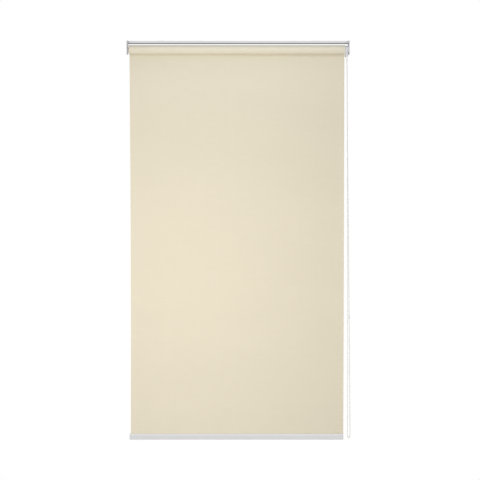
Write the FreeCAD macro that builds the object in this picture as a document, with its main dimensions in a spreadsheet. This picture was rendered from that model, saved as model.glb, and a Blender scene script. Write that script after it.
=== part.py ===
import FreeCAD, Part
import math
import os
import re
import sys

import Sketcher

# A chain-drawn roller blind: a ceiling headrail with two end brackets, a tube that the cloth
# winds on, a hem bar and a bead chain. It is modelled fully lowered.
# X runs along the tube, the window side is +Y, +Z is up, and the origin is on the ceiling,
# midway between the two ceiling screws.

Vector = FreeCAD.Vector
doc = FreeCAD.newDocument("RollerBlind")

# ---------------------------------------------------------------- driving sizes, millimetres

sizes = {
    "overall_width": (1000, "outside of one bracket cover to the outside of the other"),
    "overall_drop": (1800, "ceiling to the underside of the hem bar"),
    "bracket_depth": (52, "end bracket, front to back"),
    "bracket_height": (60, "end bracket, top to bottom"),
    "bracket_round": (18, "radius of the bracket's lower corners"),
    "bracket_top_gap": (0.5, "bracket's top edge below the ceiling"),
    "plate_thickness": (2, "steel end bracket"),
    "cover_depth": (3, "plastic cover over the bracket"),
    "cover_wall": (1.2, "wall of the cover"),
    "axis_drop": (40, "tube's axis below the ceiling"),
    "rail_depth": (30, "headrail, front to back"),
    "rail_height": (11, "headrail, top to bottom"),
    "rail_wall": (1.3, "headrail's wall"),
    "rail_slot": (16, "open slot along the headrail's top"),
    "rail_round": (1.2, "headrail's outer corners"),
    "port_block": (5.6, "side of the rail's square screw port"),
    "port_bore": (3.3, "hole along the screw port"),
    "clip_thickness": (1.5, "pressed ceiling clip"),
    "clip_width": (34, "ceiling clip, along the rail"),
    "clip_side_play": (2, "clip's wings to the rail's side walls"),
    "clip_play": (0.3, "clip's legs to the edge of the rail's slot"),
    "ceiling_spacing": (700, "between the two ceiling screws"),
    "ceiling_hole": (4.5, "ceiling screw hole"),
    "screw_shank": (3.2, "self-tapping end screw"),
    "screw_length": (14, "end screw, under its head"),
    "screw_play": (0.1, "radial play of the end screws in the bracket"),
    "screw_head": (6.4, "end screw's head, across"),
    "screw_head_height": (1.5, "end screw's head"),
    "tube_outer": (38, "roller tube, outside"),
    "tube_wall": (1.1, "roller tube's wall"),
    "tape_thickness": (0.15, "tape that holds the cloth to the tube"),
    "tape_width": (18, "the same tape, round the tube"),
    "fabric_thickness": (0.4, "the cloth"),
    "roll_wraps": (2.5, "turns of cloth left on the tube when lowered"),
    "fabric_left_gap": (10.4, "left cover's outside to the cloth's edge"),
    "fabric_right_gap": (20.7, "right cover's outside to the cloth's edge"),
    "body_gap": (0.3, "free space between parts that move past each other"),
    "running_gap": (0.06, "radial play of a shaft in its bearing"),
    "plug_length": (36, "idle plug inside the tube"),
    "plug_wall": (4, "idle plug's inner end wall"),
    "plug_nose_wall": (4.9, "idle plug's nose, from its face to the spring's chamber"),
    "plug_rim": (1, "idle plug's rim over the tube's end"),
    "plug_nose": (18, "idle plug's nose, across"),
    "pin_size": (5, "idle pin, across"),
    "pin_lead": (0.6, "chamfer on the pin's tip"),
    "pin_collar": (9.6, "collar on the idle pin"),
    "pin_collar_width": (2, "the same collar, along the pin"),
    "pin_grip": (2.8, "how far the idle pin enters its bush past the bracket's face"),
    "bush_rim": (16, "rim of the pin's bush"),
    "bush_rim_width": (1.2, "thickness of that rim"),
    "bush_barrel": (10, "barrel of the bush, across"),
    "bush_stand": (1, "barrel beyond the bracket's outside"),
    "spring_wire": (0.7, "idle pin's spring wire"),
    "spring_coil": (7.6, "idle pin's spring, middle of the wire, across"),
    "spring_turns": (9, "turns in the idle pin's spring"),
    "wheel_pockets": (14, "pockets round the chain wheel"),
    "bead_pitch": (6, "bead to bead along the chain"),
    "bead_size": (4.5, "chain bead, across"),
    "chain_inset": (11, "right cover's outside to the chain's plane"),
    "wheel_width": (9, "chain wheel, along its axis"),
    "wheel_rim": (1.6, "wheel's rim beyond the middle of the chain"),
    "pocket_play": (0.65, "pocket larger than a bead, in radius"),
    "groove_play": (0.2, "groove larger than a bead, in radius"),
    "sleeve_size": (16.8, "wheel's sleeve inside the tube, across"),
    "sleeve_length": (6.5, "wheel's sleeve, along its axis"),
    "core_size": (13, "clutch's fixed core, across"),
    "core_length": (42, "clutch's core beyond the bracket"),
    "core_flange": (20, "core's flange on the bracket, across"),
    "core_flange_width": (1.2, "thickness of that flange"),
    "core_peg": (10, "core's square peg through the bracket"),
    "retainer_width": (1, "snap ring on the core's end"),
    "retainer_bite": (1, "depth of the snap ring's groove"),
    "retainer_rise": (1.4, "snap ring's height above the core"),
    "clutch_wire": (0.9, "wire of the clutch springs"),
    "clutch_coils": (6, "coils in each clutch spring"),
    "clutch_spring_count": (3, "clutch springs side by side"),
    "clutch_spring_gap": (0.5, "between clutch springs"),
    "crown_rim": (1, "crown's rim over the tube's end"),
    "housing_wall": (1.4, "chain guard's wall"),
    "housing_play": (1, "chain to the guard's inside"),
    "housing_drop": (30.5, "guard's mouth below the tube's axis"),
    "housing_round": (3, "guard's lower corners"),
    "hem_height": (25, "hem bar, top to bottom"),
    "hem_depth": (10, "hem bar, front to back"),
    "hem_lip": (4.6, "hem bar's top, front to back"),
    "hem_shoulder": (11.5, "length of the bar's sloping upper face"),
    "hem_groove": (1.1, "depth and height of the groove along the bar"),
    "hem_round": (2.5, "hem bar's lower corners"),
    "hem_wall": (1.2, "hem bar's wall"),
    "hem_slot": (1.4, "slot that the cloth enters"),
    "hem_slot_depth": (1.85, "length of the slot above the keder's channel"),
    "keder_size": (4.4, "strip that holds the cloth in the bar"),
    "keder_play": (0.1, "its channel, larger in diameter"),
    "hem_overhang": (2, "bar's left end beyond the cloth"),
    "hem_right_gap": (2.5, "bar's right end short of the cloth's edge"),
    "cap_thickness": (2.5, "bar's end cap"),
    "cap_plug": (12, "cap's plug inside the bar"),
    "connector_length": (14, "chain connector"),
    "connector_size": (7.2, "chain connector, across"),
    "connector_drop": (1250, "connector's middle below the ceiling"),
    "stop_length": (8, "chain stop"),
    "stop_size": (8.4, "chain stop, across"),
    "stop_play": (0.5, "stop below the guard's mouth"),
}

sheet = doc.addObject("Spreadsheet::Sheet", "Sizes")
for row, (name, (value, meaning)) in enumerate(sizes.items(), 1):
    sheet.set(f"A{row}", name)
    sheet.set(f"B{row}", str(value))
    sheet.set(f"C{row}", meaning)
    sheet.setAlias(f"B{row}", name)
doc.recompute()


def bound(text):
    """Point each size name in an expression at its cell."""
    return re.sub(r"[a-z]+(?:_[a-z]+)*", lambda m: "Sizes." * (m[0] in sizes) + m[0], text)


def number(text):
    return float(sheet.evalExpression(bound(text)))


# Places that several pieces share, as expressions of the sizes above.
plate_left = "(cover_depth + plate_thickness - overall_width/2)"
plate_right = "(overall_width/2 - cover_depth - plate_thickness)"
bracket_top = "(-bracket_top_gap)"
bracket_bottom = "(-bracket_top_gap - bracket_height)"
axis_height = "(-axis_drop)"
rail_top = "(-clip_thickness)"
rail_bottom = "(-clip_thickness - rail_height)"
rail_inside = "(rail_depth/2 - rail_wall)"
rail_floor = "(rail_wall - clip_thickness - rail_height)"
port_across = "(rail_depth/2 - rail_wall - port_block/2)"
port_height = "(rail_wall - clip_thickness - rail_height + port_block/2)"
fabric_left = "(fabric_left_gap - overall_width/2)"
fabric_right = "(overall_width/2 - fabric_right_gap)"
fabric_width = "(overall_width - fabric_left_gap - fabric_right_gap)"
tube_radius = "(tube_outer/2)"
tube_inside = "(tube_outer/2 - tube_wall)"
tape_radius = "(tube_outer/2 + tape_thickness)"
roll_radius = "(tube_outer/2 + tape_thickness + roll_wraps*fabric_thickness)"
fall_plane = f"({roll_radius} + body_gap + fabric_thickness/2)"
hem_top = "(hem_height - overall_drop)"
hem_left = "(fabric_left_gap - overall_width/2 - hem_overhang)"
hem_right = "(overall_width/2 - fabric_right_gap - hem_right_gap)"
wheel_radius = "(wheel_pockets*bead_pitch/(2*pi))"
chain_plane = "(overall_width/2 - chain_inset)"
core_face = "(overall_width/2 - cover_depth - plate_thickness - core_flange_width)"
cut_past = 1  # how far a cut runs past the face that it opens


# ---------------------------------------------------------------- sketching and features

def new_body(name):
    body = doc.addObject("PartDesign::Body", name)
    body.Label = name
    return body


def new_sketch(body, role, offset="0"):
    """A sketch on one of the body's own origin planes, moved along the plane's normal."""
    sketch = body.newObject("Sketcher::SketchObject", body.Name + "_sketch")
    plane = next(f for f in body.Origin.OriginFeatures if f.Role == role)
    sketch.AttachmentSupport = (plane, [""])
    sketch.MapMode = "FlatFace"
    sketch.setExpression("AttachmentOffset.Base.z", bound(offset))
    return sketch


def hold_point(sketch, geometry, end, across, up):
    """Tie one point of a sketch to two sizes, measured from the sketch's origin."""
    for kind, text in (("DistanceX", across), ("DistanceY", up)):
        rule = Sketcher.Constraint(kind, -1, 1, geometry, end, number(text))
        index = sketch.addConstraint(rule)
        sketch.setExpression(f"Constraints[{index}]", bound(text))


def hold_radius(sketch, geometry, text):
    index = sketch.addConstraint(Sketcher.Constraint("Radius", geometry, number(text)))
    sketch.setExpression(f"Constraints[{index}]", bound(text))


def add_circle(sketch, across, up, radius):
    circle = Part.Circle(Vector(number(across), number(up), 0), Vector(0, 0, 1), number(radius))
    index = sketch.addGeometry(circle)
    hold_point(sketch, index, 3, across, up)
    hold_radius(sketch, index, radius)


def towards(here, there):
    """Unit step from one square corner to the next."""
    step = Vector(number(there[0]) - number(here[0]), number(there[1]) - number(here[1]), 0)
    return step.normalize()


def add_outline(sketch, corners):
    """A closed outline. A corner is (across, up) or, between square edges, (across, up, radius)."""
    stops = []
    for i, corner in enumerate(corners):
        if len(corner) == 2:
            stops.append((corner[0], corner[1], None))
            continue
        across, up, radius = corner
        back = towards(corner, corners[i - 1])
        ahead = towards(corner, corners[(i + 1) % len(corners)])
        for step, turn in ((back, (back, ahead, radius)), (ahead, None)):
            stops.append((f"{across} + {step.x:.0f}*{radius}", f"{up} + {step.y:.0f}*{radius}", turn))
    starts = []
    for i, (across, up, turn) in enumerate(stops):
        here = Vector(number(across), number(up), 0)
        after = stops[(i + 1) % len(stops)]
        there = Vector(number(after[0]), number(after[1]), 0)
        if turn is None:
            index = sketch.addGeometry(Part.LineSegment(here, there))
            starts.append((index, 1, 2))
        else:
            back, ahead, radius = turn
            middle = here + ahead * number(radius)
            circle = Part.Circle(middle, Vector(0, 0, 1), number(radius))
            first = math.atan2(here.y - middle.y, here.x - middle.x)
            last = math.atan2(there.y - middle.y, there.x - middle.x)
            left_turn = back.cross(ahead).z < 0
            ends = (first, last) if left_turn else (last, first)
            index = sketch.addGeometry(Part.ArcOfCircle(circle, *ends))
            starts.append((index, 1, 2) if left_turn else (index, 2, 1))
            hold_radius(sketch, index, radius)
        hold_point(sketch, index, starts[-1][1], across, up)
    for i, (index, _, end) in enumerate(starts):
        following, start, _ = starts[(i + 1) % len(starts)]
        sketch.addConstraint(Sketcher.Constraint("Coincident", index, end, following, start))


def pad(body, sketch, length):
    feature = body.newObject("PartDesign::Pad", body.Name + "_pad")
    feature.Profile = sketch
    feature.setExpression("Length", bound(length))


def extrude(name, start, length, corners, holes=()):
    """A body with a constant section across X, from start, with round holes along it."""
    body = new_body(name)
    sketch = new_sketch(body, "YZ_Plane", start)
    add_outline(sketch, corners)
    for hole in holes:
        add_circle(sketch, *hole)
    pad(body, sketch, length)
    return body


def cut(body, sketch, length):
    """Pocket along the sketch's normal, and make sure that it did remove material."""
    doc.recompute()
    before = body.Shape.Volume
    feature = body.newObject("PartDesign::Pocket", body.Name + "_pocket")
    feature.Profile = sketch
    feature.Reversed = True
    feature.setExpression("Length", bound(length))
    doc.recompute()
    if not body.Shape.Volume < before - 0.01:
        sys.exit(f"{feature.Name} cuts nothing")


def turn(name, outline):
    """A body turned about the tube's axis, from (along X, radius) corners."""
    body = new_body(name)
    sketch = new_sketch(body, "XZ_Plane")
    add_outline(sketch, outline)
    feature = body.newObject("PartDesign::Revolution", name + "_turn")
    feature.Profile = sketch
    feature.ReferenceAxis = (sketch, ["H_Axis"])
    feature.Angle = 360
    body.setExpression("Placement.Base.z", bound(axis_height))
    return body


def rod(name, start, length, radius, sector=None):
    """A plain cylinder on the tube's axis, to be combined with others."""
    cylinder = doc.addObject("Part::Cylinder", name)
    cylinder.setExpression("Radius", bound(radius))
    cylinder.setExpression("Height", bound(length))
    if sector:
        cylinder.setExpression("Angle", bound(sector))
    cylinder.Placement.Rotation = FreeCAD.Rotation(Vector(0, 1, 0), 90)
    cylinder.setExpression("Placement.Base.x", bound(start))
    cylinder.setExpression("Placement.Base.z", bound(axis_height))
    return cylinder


def minus(name, base, tool):
    result = doc.addObject("Part::Cut", name)
    result.Label = name
    result.Base = base
    result.Tool = tool
    return result


def sleeve(name, start, length, outside, inside, sector=None):
    return minus(name, rod(name + "_outside", start, length, outside, sector),
                 rod(name + "_inside", start, length, inside))


def solid(name, shape):
    """A sub-part whose shape comes straight from Part's own functions."""
    feature = doc.addObject("Part::Feature", name)
    feature.Label = name
    feature.Shape = shape
    return feature


# ---------------------------------------------------------------- headrail and its clips

def headrail():
    edge = "(rail_slot/2)"
    under_lip = f"({rail_top} - rail_wall)"
    port_in = f"({rail_inside} - port_block)"
    port_top = f"({rail_floor} + port_block)"
    half = [
        (edge, rail_top),
        ("rail_depth/2", rail_top, "rail_round"),
        ("rail_depth/2", rail_bottom, "rail_round"),
        ("-rail_depth/2", rail_bottom, "rail_round"),
        ("-rail_depth/2", rail_top, "rail_round"),
        (f"-{edge}", rail_top),
    ]
    inside = []
    for side in ("-", ""):
        points = [
            (f"{side}{edge}", under_lip),
            (f"{side}{rail_inside}", under_lip),
            (f"{side}{rail_inside}", port_top),
            (f"{side}{port_in}", port_top),
            (f"{side}{port_in}", rail_floor),
        ]
        inside += points if side else points[::-1]
    ports = [(f"{side}{port_across}", port_height, "port_bore/2") for side in ("-", "")]
    extrude("headrail", plate_left, f"{plate_right} - {plate_left}", half + inside, ports)


def mounting_clip(name, middle):
    """A pressed clip: screwed to the ceiling, with wings that hold the rail's lips."""
    outer = "(rail_slot/2 - clip_play)"
    inner = f"({outer} - clip_thickness)"
    wing = f"({rail_inside} - clip_side_play)"
    wing_top = f"({rail_top} - rail_wall)"
    wing_bottom = f"({wing_top} - clip_thickness)"
    right = [
        (inner, rail_top),
        (inner, wing_bottom),
        (wing, wing_bottom),
        (wing, wing_top),
        (outer, wing_top),
        (outer, "0"),
    ]
    left = [("-" + across, up) for across, up in reversed(right)]
    body = extrude(name, f"{middle} - clip_width/2", "clip_width", right + left)
    sketch = new_sketch(body, "XY_Plane", rail_top)
    add_circle(sketch, middle, "0", "ceiling_hole/2")
    cut(body, sketch, "clip_thickness")


# ---------------------------------------------------------------- end brackets

def plate_corners(inset):
    """The bracket's outline, the same distance inside it all round."""
    side = f"(bracket_depth/2 - {inset})"
    top = f"({bracket_top} - {inset})"
    bottom = f"({bracket_bottom} + {inset})"
    corner = f"(bracket_round - {inset})"
    return [(f"-{side}", top), (side, top), (side, bottom, corner), (f"-{side}", bottom, corner)]


def bracket(name, start):
    """A steel end plate, with clearance holes for the two screws into the rail."""
    holes = [(f"{side}{port_across}", port_height, "screw_shank/2 + screw_play") for side in ("-", "")]
    return extrude(name, start, "plate_thickness", plate_corners("0"), holes)


def cover(name, start, hollow_start):
    """A plastic cap over the bracket's outside, hollow for the screw heads behind it."""
    body = extrude(name, start, "cover_depth", plate_corners("0"))
    sketch = new_sketch(body, "YZ_Plane", hollow_start)
    add_outline(sketch, plate_corners("cover_wall"))
    cut(body, sketch, "cover_depth - cover_wall")
    return body


def soften(body, face_at, radius):
    """Round all the edges of a body's outer face, which lies at one place along X."""
    doc.recompute()
    place = number(face_at)
    edges = []
    for i, edge in enumerate(body.Shape.Edges, 1):
        box = edge.BoundBox
        if abs(box.XMin - place) < 1e-6 and abs(box.XMax - place) < 1e-6:
            edges.append(f"Edge{i}")
    solid_so_far = body.Tip
    feature = body.newObject("PartDesign::Fillet", body.Name + "_round")
    feature.Base = (solid_so_far, edges)
    feature.setExpression("Radius", bound(radius))


def end_screws(name, head_face, way):
    """Two pan-head self-tapping screws, from the bracket's outside into the rail's ports."""
    face = number(head_face)
    height = number(port_height)
    pieces = []
    for side in (-1, 1):
        middle = Vector(face, side * number(port_across), height)
        inward = Vector(way, 0, 0)
        head = Part.makeCylinder(number("screw_head/2"), number("screw_head_height"), middle, -inward)
        rim = [e for e in head.Edges if abs(e.BoundBox.XMin - face) > 1e-6 and e.BoundBox.XLength < 1e-6]
        head = head.makeFillet(number("screw_head_height/2"), rim)
        shank = Part.makeCylinder(number("screw_shank/2"), number("screw_length"), middle, inward)
        pieces.append(head.fuse(shank).removeSplitter())
    solid(name, Part.makeCompound(pieces))


# ---------------------------------------------------------------- idle end

def idle_end():
    nose_face = f"({plate_left} + bush_rim_width + body_gap)"
    rim_face = f"({fabric_left} - plug_rim)"
    pin_bore = "(pin_size/2 + running_gap)"
    chamber = f"({nose_face} + plug_nose_wall)"
    plug_end = f"({fabric_left} + plug_length)"
    turn("idle_plug", [
        (nose_face, pin_bore),
        (nose_face, "(plug_nose/2)"),
        (rim_face, "(plug_nose/2)"),
        (rim_face, tube_radius),
        (fabric_left, tube_radius),
        (fabric_left, tube_inside),
        (plug_end, tube_inside),
        (plug_end, pin_bore),
        (f"({plug_end} - plug_wall)", pin_bore),
        (f"({plug_end} - plug_wall)", "(pin_collar/2 + running_gap)"),
        (chamber, "(pin_collar/2 + running_gap)"),
        (chamber, pin_bore),
    ])
    tip = f"({plate_left} - pin_grip)"
    collar = f"({chamber} + body_gap)"
    turn("idle_pin", [
        (tip, "0"),
        (tip, "(pin_size/2 - pin_lead)"),
        (f"({tip} + pin_lead)", "(pin_size/2)"),
        (collar, "(pin_size/2)"),
        (collar, "(pin_collar/2)"),
        (f"({collar} + pin_collar_width)", "(pin_collar/2)"),
        (f"({collar} + pin_collar_width)", "0"),
    ])
    spring_start = f"({collar} + pin_collar_width)"
    spring_length = f"({plug_end} - plug_wall - {spring_start})"
    solid("idle_pin_spring", spring(number(spring_start), number(spring_length)))
    barrel_end = f"({plate_left} - plate_thickness - bush_stand)"
    turn("pin_bush", [
        (barrel_end, pin_bore),
        (barrel_end, "(bush_barrel/2)"),
        (plate_left, "(bush_barrel/2)"),
        (plate_left, "(bush_rim/2)"),
        (f"({plate_left} + bush_rim_width)", "(bush_rim/2)"),
        (f"({plate_left} + bush_rim_width)", pin_bore),
    ])


def spring(start, length):
    """An open coil of round wire along the tube's axis, inside a given length."""
    wire = number("spring_wire")
    radius = number("spring_coil/2")
    rise = length - wire
    coil = Part.makeHelix(rise / number("spring_turns"), rise, radius)
    section = Part.Wire(Part.Circle(Vector(radius, 0, 0), Vector(0, 1, 0), wire / 2).toShape())
    shape = Part.Wire(coil.Edges).makePipeShell([section], True, True)
    shape.rotate(Vector(0, 0, 0), Vector(0, 1, 0), 90)
    shape.translate(Vector(start + wire / 2, 0, number(axis_height)))
    return shape


# ---------------------------------------------------------------- tube and cloth

def roller():
    sleeve("roller_tube", fabric_left, fabric_width, tube_radius, tube_inside)
    sector = f"(tape_width/{tube_radius}*180/pi)"
    sleeve("fixing_tape", fabric_left, fabric_width, tape_radius, tube_radius, sector)
    sleeve("wound_fabric", fabric_left, fabric_width, roll_radius, tape_radius)


def hanging_fabric():
    """The cloth from the back of the roll down into the hem bar's slot."""
    panel = doc.addObject("Part::Box", "fabric_panel")
    panel.Label = "fabric_panel"
    end = f"({hem_top} - {keder_depth()} + keder_size/2 + keder_play/2 + body_gap)"
    panel.setExpression("Length", bound(fabric_width))
    panel.setExpression("Width", bound("fabric_thickness"))
    panel.setExpression("Height", bound(f"{axis_height} - {end}"))
    panel.setExpression("Placement.Base.x", bound(fabric_left))
    panel.setExpression("Placement.Base.y", bound(f"{fall_plane} - fabric_thickness/2"))
    panel.setExpression("Placement.Base.z", bound(end))


# ---------------------------------------------------------------- hem bar

def keder_depth():
    """Middle of the keder's channel below the bar's top."""
    return "(keder_size/2 + keder_play/2 + hem_slot_depth)"


def hem():
    lip = "(hem_lip/2)"
    side = "(hem_depth/2)"
    slope_end = f"({hem_top} - hem_shoulder)"
    groove_end = f"({slope_end} - hem_groove)"
    shoulder = f"({side} - hem_groove/2)"
    bottom = "(-overall_drop)"
    hem_length = f"({hem_right} - {hem_left} - 2*cap_thickness)"

    half = [
        (lip, hem_top),
        (shoulder, slope_end),
        (f"{shoulder} - hem_groove", slope_end),
        (f"{shoulder} - hem_groove", groove_end),
        (side, groove_end),
        (side, bottom, "hem_round"),
    ]
    outline = [(f"{fall_plane} + {c[0]}", *c[1:]) for c in half]
    outline += [(f"{fall_plane} - ({c[0]})", *c[1:]) for c in reversed(half)]
    hollow_side = f"({side} - hem_groove*1.5 - hem_wall)"
    hollow_top = f"({slope_end} + hem_wall)"
    hollow_bottom = f"({bottom} + hem_wall)"
    hollow = [
        (f"{fall_plane} - {hollow_side}", hollow_bottom),
        (f"{fall_plane} + {hollow_side}", hollow_bottom),
        (f"{fall_plane} + {hollow_side}", hollow_top),
        (f"{fall_plane} - {hollow_side}", hollow_top),
    ]
    start = f"({hem_left} + cap_thickness)"
    bar = extrude("hem_bar", start, hem_length, outline)
    sketch = new_sketch(bar, "YZ_Plane", start)
    add_outline(sketch, hollow)
    cut(bar, sketch, hem_length)
    keder_height = f"({hem_top} - {keder_depth()})"
    sketch = new_sketch(bar, "YZ_Plane", start)
    add_circle(sketch, fall_plane, keder_height, "keder_size/2 + keder_play/2")
    cut(bar, sketch, hem_length)
    slot = [
        (f"{fall_plane} - hem_slot/2", keder_height),
        (f"{fall_plane} + hem_slot/2", keder_height),
        (f"{fall_plane} + hem_slot/2", f"{hem_top} + {cut_past}"),
        (f"{fall_plane} - hem_slot/2", f"{hem_top} + {cut_past}"),
    ]
    sketch = new_sketch(bar, "YZ_Plane", start)
    add_outline(sketch, slot)
    cut(bar, sketch, hem_length)

    keder = new_body("fabric_keder")
    sketch = new_sketch(keder, "YZ_Plane", start)
    add_circle(sketch, fall_plane, keder_height, "keder_size/2")
    pad(keder, sketch, hem_length)

    end = f"({hem_right} - cap_thickness)"
    ends = (
        ("bar_cap_left", hem_left, start),
        ("bar_cap_right", end, f"({end} - cap_plug)"),
    )
    for name, cap_start, plug_start in ends:
        cap = extrude(name, cap_start, "cap_thickness", outline)
        sketch = new_sketch(cap, "YZ_Plane", cap_start)
        add_outline(sketch, slot)
        cut(cap, sketch, "cap_thickness")
        sketch = new_sketch(cap, "YZ_Plane", plug_start)
        add_outline(sketch, hollow)
        pad(cap, sketch, "cap_plug")


# ---------------------------------------------------------------- chain drive

def core_and_springs():
    end = f"({plate_right} - core_length)"
    peg_side = "(core_peg/2)"
    ring = f"({end} + retainer_width)"
    groove = "(core_size/2 - retainer_bite)"
    core = turn("clutch_core", [
        (end, "0"),
        (end, "(core_size/2)"),
        (ring, "(core_size/2)"),
        (ring, groove),
        (f"({ring} + retainer_width)", groove),
        (f"({ring} + retainer_width)", "(core_size/2)"),
        (core_face, "(core_size/2)"),
        (core_face, "(core_flange/2)"),
        (plate_right, "(core_flange/2)"),
        (plate_right, "0"),
    ])
    doc.recompute()
    sketch = new_sketch(core, "YZ_Plane", plate_right)
    add_outline(sketch, [(f"-{peg_side}", f"-{peg_side}"), (peg_side, f"-{peg_side}"),
                         (peg_side, peg_side), (f"-{peg_side}", peg_side)])
    pad(core, sketch, "plate_thickness")
    turn("core_retainer", [
        (ring, groove),
        (ring, "(core_size/2 + retainer_rise)"),
        (f"({ring} + retainer_width)", "(core_size/2 + retainer_rise)"),
        (f"({ring} + retainer_width)", groove),
    ])

    first = number(f"{ring} + retainer_width + 2*body_gap + {crown_floor()}")
    wire = number("clutch_wire")
    inner = number("core_size/2 + running_gap")
    swell = 1.02  # the rings are this much thicker than their pitch, so that they join
    coils = int(number("clutch_coils"))
    springs = []
    for i in range(int(number("clutch_spring_count"))):
        start = first + i * (coils * wire + number("clutch_spring_gap"))
        rings = [Part.makeTorus(inner + wire / 2, wire / 2 * swell, Vector(start + (k + 0.5) * wire, 0, 0),
                                Vector(1, 0, 0)) for k in range(coils)]
        springs.append(rings[0].multiFuse(rings[1:]))
    shape = Part.makeCompound(springs)
    shape.translate(Vector(0, 0, number(axis_height)))
    solid("clutch_springs", shape)


def crown_floor():
    """Thickness of the crown's inner end, beyond the snap ring."""
    return "(2*clutch_wire)"


def drive_crown():
    face = f"({fabric_right} + crown_rim)"
    inner_end = f"({plate_right} - core_length + 3*retainer_width)"
    sleeve_end = f"({chain_plane} - wheel_width/2 - sleeve_length)"
    wide = "(sleeve_size/2 + body_gap)"
    narrow = "(core_size/2 + running_gap + clutch_wire + body_gap)"
    turn("drive_crown", [
        (inner_end, narrow),
        (inner_end, tube_inside),
        (fabric_right, tube_inside),
        (fabric_right, tube_radius),
        (face, tube_radius),
        (face, wide),
        (f"({sleeve_end} - body_gap)", wide),
        (f"({sleeve_end} - body_gap)", narrow),
    ])


def chain_wheel():
    """A grooved wheel with a pocket for each bead, on a sleeve that drives the springs."""
    left = f"({chain_plane} - wheel_width/2)"
    right = f"({chain_plane} + wheel_width/2)"
    bore = "(core_size/2 + running_gap)"
    rim = f"({wheel_radius} + wheel_rim)"
    wheel = turn("chain_wheel_blank", [
        (f"({left} - sleeve_length)", bore),
        (f"({left} - sleeve_length)", "(sleeve_size/2)"),
        (left, "(sleeve_size/2)"),
        (left, rim),
        (right, rim),
        (right, bore),
    ])
    doc.recompute()
    centre = Vector(number(chain_plane), 0, number(axis_height))
    radius = number(wheel_radius)
    bead = number("bead_size/2")
    groove = bead + number("groove_play")
    side = centre - Vector(groove, 0, 0)
    shape = wheel.Shape.cut(Part.makeTorus(radius, groove, centre, Vector(1, 0, 0)))
    mouth = Part.makeCylinder(number(rim) + cut_past, 2 * groove, side, Vector(1, 0, 0))
    shape = shape.cut(mouth.cut(Part.makeCylinder(radius, 2 * groove, side, Vector(1, 0, 0))))
    pockets = int(number("wheel_pockets"))
    for i in range(pockets):
        angle = 2 * math.pi * i / pockets
        middle = centre + Vector(0, -math.sin(angle), math.cos(angle)) * radius
        shape = shape.cut(Part.makeSphere(bead + number("pocket_play"), middle))
    solid("chain_wheel", shape.removeSplitter())


def drive_housing():
    """The guard round the chain wheel, with a mouth below for each strand of the chain."""
    inside = f"({wheel_radius} + bead_size/2 + housing_play)"
    outside = f"({inside} + housing_wall)"
    left = f"({fabric_right} + crown_rim + body_gap)"
    mouth = "(-housing_drop)"
    lug_right = f"({chain_plane} + bead_size/2 + housing_play + housing_wall)"
    channel_left = f"({chain_plane} - bead_size/2 - housing_play)"
    channel_inner = f"({wheel_radius} - bead_size/2 - housing_play)"
    body = new_body("drive_housing")
    body.setExpression("Placement.Base.z", bound(axis_height))
    sketch = new_sketch(body, "YZ_Plane", left)
    add_circle(sketch, "0", "0", outside)
    pad(body, sketch, f"{plate_right} - {left}")
    doc.recompute()
    sketch = new_sketch(body, "YZ_Plane", left)
    add_outline(sketch, [
        (f"-{outside}", mouth, "housing_round"),
        (outside, mouth, "housing_round"),
        (outside, "0"),
        (f"-{outside}", "0"),
    ])
    pad(body, sketch, f"{lug_right} - {left}")
    sketch = new_sketch(body, "YZ_Plane", f"{left} + housing_wall")
    add_circle(sketch, "0", "0", inside)
    cut(body, sketch, f"{plate_right} - {left}")
    sketch = new_sketch(body, "YZ_Plane", left)
    add_circle(sketch, "0", "0", "sleeve_size/2 + 2*body_gap")
    cut(body, sketch, "housing_wall")
    for near, far in ((f"-{inside}", f"-{channel_inner}"), (channel_inner, inside)):
        sketch = new_sketch(body, "YZ_Plane", channel_left)
        add_outline(sketch, [
            (near, f"({mouth} - {cut_past})"),
            (far, f"({mouth} - {cut_past})"),
            (far, "0"),
            (near, "0"),
        ])
        cut(body, sketch, "bead_size + 2*housing_play")


# ---------------------------------------------------------------- chain

# The chain's middle line, from the top of the wheel over the front, down, round the bottom of
# the loop and up behind to the wheel's top again. The strands lean outwards as they hang, and
# the loop is turned about the vertical at its foot. X counts from the chain's plane.
chain_route = [
    (0, -1.0, -26.63),
    (0, -5.54, -26.63),
    (0, -13.37, -34.46),
    (0, -13.37, -45.54),
    (4.3, -13.1, -1400.0),
    (4.8, -11.6, -1768.84),
    (4.8, -11.6, -1779.92),
    (8.7, -4.81, -1787.75),
    (14.2, 4.81, -1787.75),
    (18.1, 11.6, -1779.92),
    (18.1, 11.6, -1768.84),
    (14.6, 13.1, -1400.0),
    (0, 13.37, -45.54),
    (0, 13.37, -34.46),
    (0, 5.54, -26.63),
    (0, 1.0, -26.63),
]
wheel_corners = (1, 2, 13, 14)
loop_corners = (6, 7, 8, 9)
front_run = (3, 4)
back_run = (12, 11)


def chain_points():
    plane = Vector(number(chain_plane), 0, 0)
    return [Vector(*point) + plane for point in chain_route]


def rounded_path(points, fixed):
    """Straight runs joined by tangent arcs. A fixed corner has its own radius, and any other the
    largest that its two runs allow."""
    share = 0.45
    shortest = 0.02
    edges = []
    radii = []
    here = points[0]
    for i in range(1, len(points) - 1):
        back = (points[i - 1] - points[i]).normalize()
        ahead = (points[i + 1] - points[i]).normalize()
        half = math.tan((math.pi - back.getAngle(ahead)) / 2)
        shorter = min(points[i].distanceToPoint(points[i - 1]), points[i].distanceToPoint(points[i + 1]))
        radius = fixed.get(i, share * shorter / half)
        reach = radius * half
        radii.append(radius)
        start = points[i] + back * reach
        end = points[i] + ahead * reach
        bisector = (back + ahead).normalize()
        middle = points[i] + bisector * (math.hypot(radius, reach) - radius)
        if here.distanceToPoint(start) > shortest:
            edges.append(Part.LineSegment(here, start).toShape())
        else:
            start = here
        edges.append(Part.Arc(start, middle, end).toShape())
        here = end
    edges.append(Part.LineSegment(here, points[-1]).toShape())
    return Part.Wire(edges), radii


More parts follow.
